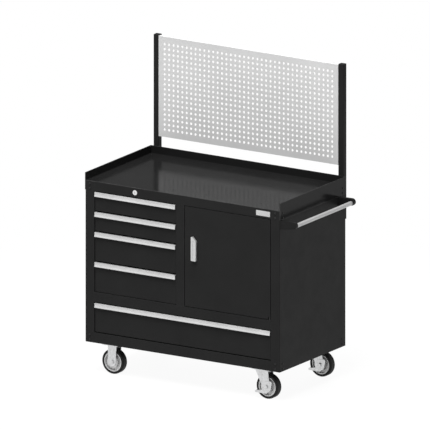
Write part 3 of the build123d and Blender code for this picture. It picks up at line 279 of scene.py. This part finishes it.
def tray_coat():
    """Smoother, glossier coat than the cabinet's, darker inside the tray; the lighter grey on its outer
    sides is painted light, and the lighter grey along the lips is partly wear and partly painted highlight.
    """
    coat = Surface("tray_gloss_black", Specular_IOR_Level=0.076)
    clouds = coat.sum(coat.noise(size=0.3, detail=4.0), coat.noise(size=0.0015), share=0.2)
    inner = coat.tones(clouds, TRAY_INSIDE, start=0.35, end=0.9)
    # The lighter grey of the outer sides is painted light.
    outer = coat.tones(clouds, TRAY_OUTSIDE_PAINTED_LIGHT, start=0.35, end=0.9)
    colour = coat.blend(coat.outer_sides(*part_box("worktop_tray")), inner, outer)
    coat.feed("Base Color", coat.wear_and_edge_highlight(colour, wear_and_highlight_grey=0.1, reach=TRAY_WEAR_AND_HIGHLIGHT, most=1.0))
    coat.feed("Roughness", coat.spread(coat.noise(size=0.09, detail=4.0), low=0.12, high=0.17))
    coat.bump(coat.noise(size=0.0035, detail=1.0), depth=0.00003, strength=0.4)
    return coat.material


def drawn_metal(name, greys, rough, along, metallic):
    """Metal with fine lines along one axis, as left by a die or a brush, dulled by its surface layer."""
    metal = Surface(name, Metallic=metallic)
    stretch = [LINE_STRETCH if axis == along else 1.0 for axis in "xyz"]
    lines = metal.noise(size=0.0006, detail=4.0, stretch=stretch)
    clouds = metal.sum(metal.noise(size=0.12, detail=3.0), lines, share=0.35)
    colour = metal.tones(clouds, greys, start=0.35, end=0.95)
    # Lighter grey along the edges: partly wear, partly painted highlight.
    metal.feed("Base Color", metal.wear_and_edge_highlight(colour, wear_and_highlight_grey=0.85, reach=DRAWN_WEAR_AND_HIGHLIGHT, most=0.6))
    metal.feed("Roughness", metal.spread(lines, low=rough - 0.07, high=rough + 0.08))
    metal.bump(lines, depth=0.00002, strength=0.5)
    return metal.material


def zinc_plate():
    """Zinc plated steel: soft spangle and a slightly uneven sheen."""
    metal = Surface("zinc_plate", Metallic=1.0)
    spangle = metal.sum(metal.noise(size=0.012, detail=5.0), metal.cells(size=0.006), share=0.3)
    metal.feed("Base Color", metal.tones(spangle, ZINC, start=0.4, end=0.85, warmth=ZINC_WARMTH))
    metal.feed("Roughness", metal.spread(spangle, low=0.26, high=0.42, start=0.4, end=0.85))
    metal.bump(metal.noise(size=0.0012), depth=0.00002, strength=0.4)
    return metal.material


def chrome():
    """Bright plating with the finest polishing marks."""
    metal = Surface("chrome", Metallic=1.0)
    marks = metal.noise(size=0.0009, detail=4.0, stretch=(1.0, MARK_STRETCH, 1.0))
    metal.feed("Base Color", metal.tones(marks, CHROME))
    metal.feed("Roughness", metal.spread(marks, low=0.08, high=0.18))
    metal.bump(marks, depth=0.000006, strength=0.3)
    return metal.material


def cast_metal():
    """Blasted aluminium casting: fine grain, cloudy tone, and brighter edges that are partly wear and partly
    painted highlight.
    """
    metal = Surface("cast_aluminium", Metallic=0.6)
    grain = metal.sum(metal.noise(size=0.02, detail=5.0), metal.noise(size=0.0011), share=0.4)
    colour = metal.tones(grain, CAST_ALUMINIUM, start=0.4, end=1.0)
    metal.feed("Base Color", metal.wear_and_edge_highlight(colour, wear_and_highlight_grey=0.88, reach=CAST_WEAR_AND_HIGHLIGHT, most=0.6))
    metal.feed("Roughness", metal.spread(grain, low=0.42, high=0.58, start=0.4, end=1.0))
    metal.bump(metal.noise(size=0.0009, detail=3.0), depth=0.00006, strength=0.5)
    return metal.material


def rubber():
    """Solid black tyre: fine moulded texture, slightly greyer where it has scuffed."""
    tyre = Surface("rubber", Specular_IOR_Level=0.2)
    scuffs = tyre.sum(tyre.noise(size=0.03, detail=6.0), tyre.noise(size=0.002), share=0.3)
    tyre.feed("Base Color", tyre.tones(scuffs, RUBBER, start=0.45, end=0.95))
    tyre.feed("Roughness", tyre.spread(scuffs, low=0.5, high=0.72, start=0.4, end=0.9))
    tyre.bump(tyre.noise(size=0.0012), depth=0.00008, strength=0.5)
    return tyre.material


def moulded_plastic():
    """Black moulded plastic with a fine spark-eroded grain."""
    plastic = Surface("black_plastic", Specular_IOR_Level=0.15)
    grain = plastic.sum(plastic.noise(size=0.04, detail=4.0), plastic.noise(size=0.001), share=0.3)
    plastic.feed("Base Color", plastic.tones(grain, PLASTIC, start=0.4, end=0.9))
    plastic.feed("Roughness", plastic.spread(grain, low=0.44, high=0.58, start=0.4, end=0.9))
    plastic.bump(plastic.noise(size=0.0009, detail=1.0), depth=0.00005, strength=0.5)
    return plastic.material


def finishes():
    """One material for each of the record's slots."""
    return {
        "black_paint": powder_coat("black_powder_coat", BLACK_COAT, wear_and_highlight_grey=0.05, rough=0.42, specular=0.063),
        "board_grey": powder_coat("grey_powder_coat", BOARD_COAT, wear_and_highlight_grey=0.7, rough=0.5, specular=0.2),
        "tray_black": tray_coat(),
        "black_screw": powder_coat("black_oxide", BLACK_OXIDE, wear_and_highlight_grey=0.02, rough=0.45, specular=0.04),
        "grey_bolt": powder_coat("phosphated_steel", PHOSPHATE, wear_and_highlight_grey=0.07, rough=0.38, specular=0.12),
        "zinc_steel": zinc_plate(),
        "aluminium": drawn_metal("anodised_aluminium", ALUMINIUM, rough=0.4, along="x", metallic=0.6),
        "satin_steel": drawn_metal("satin_plated_steel", SATIN_STEEL, rough=0.45, along="y", metallic=0.5),
        "bright_chrome": chrome(),
        "rim_grey": cast_metal(),
        "tyre": rubber(),
        "black_plastic": moulded_plastic(),
    }


def paint_nodes():
    """Gives every node the finish of its slot; the posts get a darker copy of the cabinet's coat, which is
    painted shade.
    """
    by_slot = finishes()
    post_painted_shade_coat = powder_coat("post_coat_painted_shade", POST_PAINTED_SHADE_COAT, wear_and_highlight_grey=0.04, rough=0.42, specular=0.06)
    by_node = {"back_posts": post_painted_shade_coat}
    for entry in frame["record"]["subparts"]:
        name = entry["node"]
        node = frame["nodes"][name]
        node.data.materials.clear()
        node.data.materials.append(by_node.get(name, by_slot[entry["material_slot"]]))


def camera_axes():
    """Right, up and backward directions of the photograph's view."""
    level = math.cos(ELEVATION)
    right = Vector((math.cos(AZIMUTH), math.sin(AZIMUTH), 0.0))
    back = Vector((math.sin(AZIMUTH) * level, -math.cos(AZIMUTH) * level, math.sin(ELEVATION)))
    return right, back.cross(right), back


def add_camera():
    """Parallel camera that puts the cabinet's lower front left corner on its pixel."""
    right, up, back = camera_axes()
    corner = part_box("left_side_panel")[0]
    pixel = VIEW_WIDTH / IMAGE_SIZE
    across = (IMAGE_SIZE / 2 - CORNER_PIXEL[0]) * pixel
    rise = (CORNER_PIXEL[1] - IMAGE_SIZE / 2) * pixel
    target = corner + right * across + up * rise
    data = bpy.data.cameras.new("camera")
    data.type = "ORTHO"
    data.ortho_scale = VIEW_WIDTH
    data.clip_end = CAMERA_REACH
    camera = bpy.data.objects.new("camera", data)
    turn = Matrix((right, up, back)).transposed().to_4x4()
    camera.matrix_world = Matrix.Translation(target + back * CAMERA_DISTANCE) @ turn
    bpy.context.scene.collection.objects.link(camera)
    bpy.context.scene.camera = camera


def add_soft_box(name, watts, width, place, target):
    """A square lamp aimed at a point, which neither the camera nor a reflection shows."""
    data = bpy.data.lights.new(name, "AREA")
    data.energy = watts
    data.size = width
    lamp = bpy.data.objects.new(name, data)
    lamp.location = place
    lamp.rotation_euler = (Vector(target) - Vector(place)).to_track_quat("-Z", "Y").to_euler()
    lamp.visible_camera = False
    lamp.visible_glossy = False
    bpy.context.scene.collection.objects.link(lamp)


def add_world():
    """White where it is seen, a plain grey as light."""
    world = bpy.data.worlds.new("studio")
    world.use_nodes = True
    bpy.context.scene.world = world
    nodes = Nodes(world.node_tree)
    nodes.tree.nodes.remove(nodes.tree.nodes["Background"])
    light = nodes.glow(AMBIENT, kind="Background")
    white = nodes.glow(1.0, kind="Background")
    shown = nodes.mix(nodes.seen(), light, white)
    nodes.link(shown, nodes.tree.nodes["World Output"].inputs["Surface"])


def stage_material(name):
    """A material with no shader yet, with its nodes and the socket that a shader goes to."""
    material = bpy.data.materials.new(name)
    material.use_nodes = True
    nodes = Nodes(material.node_tree)
    nodes.tree.nodes.remove(nodes.tree.nodes["Principled BSDF"])
    return material, nodes, nodes.tree.nodes["Material Output"].inputs["Surface"]


def floor_material():
    """Pale floor: where seen, it keeps a faint shadow and runs out into white; it throws soft light up."""
    material, nodes, surface = stage_material("pale_floor")
    near = nodes.node("ShaderNodeAddShader")
    nodes.link(nodes.matt(FLOOR_MATT), near.inputs[0])
    nodes.link(nodes.glow(FLOOR_GLOW), near.inputs[1])
    distance = nodes.node("ShaderNodeVectorMath", operation="LENGTH")
    nodes.link(nodes.node("ShaderNodeTexCoord").outputs["Object"], distance.inputs[0])
    start, end = FLOOR_FADE
    fade = nodes.spread(distance.outputs["Value"], low=0.0, high=1.0, start=start, end=end)
    shown = nodes.mix(fade, near.outputs["Shader"], nodes.glow(1.0))
    nodes.link(nodes.mix(nodes.seen(), nodes.matt(FLOOR_BOUNCE), shown), surface)
    return material


def card_material():
    """An even grey glow."""
    material, nodes, surface = stage_material("grey_card")
    nodes.link(nodes.glow(CARD_GREY), surface)
    return material


def add_plane(name, corners, material):
    """A four-cornered piece of the stage."""
    mesh = bpy.data.meshes.new(name)
    mesh.from_pydata(corners, [], [(0, 1, 2, 3)])
    mesh.materials.append(material)
    made = bpy.data.objects.new(name, mesh)
    bpy.context.scene.collection.objects.link(made)
    return made


def add_floor():
    """A square floor round the middle of the cabinet's footprint."""
    half = FLOOR_SIZE / 2
    corners = [(-half, -half, 0.0), (half, -half, 0.0), (half, half, 0.0), (-half, half, 0.0)]
    add_plane("floor", corners, floor_material())


def add_card():
    """The grey that the tray mirrors, hidden from everything but reflections."""
    (left, right), (low, high) = CARD_X, CARD_Z
    corners = [(left, CARD_Y, low), (right, CARD_Y, low), (right, CARD_Y, high), (left, CARD_Y, high)]
    card = add_plane("grey_card", corners, card_material())
    card.visible_camera = False
    card.visible_diffuse = False
    card.visible_shadow = False


def add_studio():
    """Floor, card, soft boxes and world."""
    add_floor()
    add_card()
    for name, settings in SOFT_BOXES.items():
        add_soft_box(name, **settings)
    add_world()


paint_nodes()
add_studio()
add_camera()
bpy.context.scene.view_settings.view_transform = "Standard"
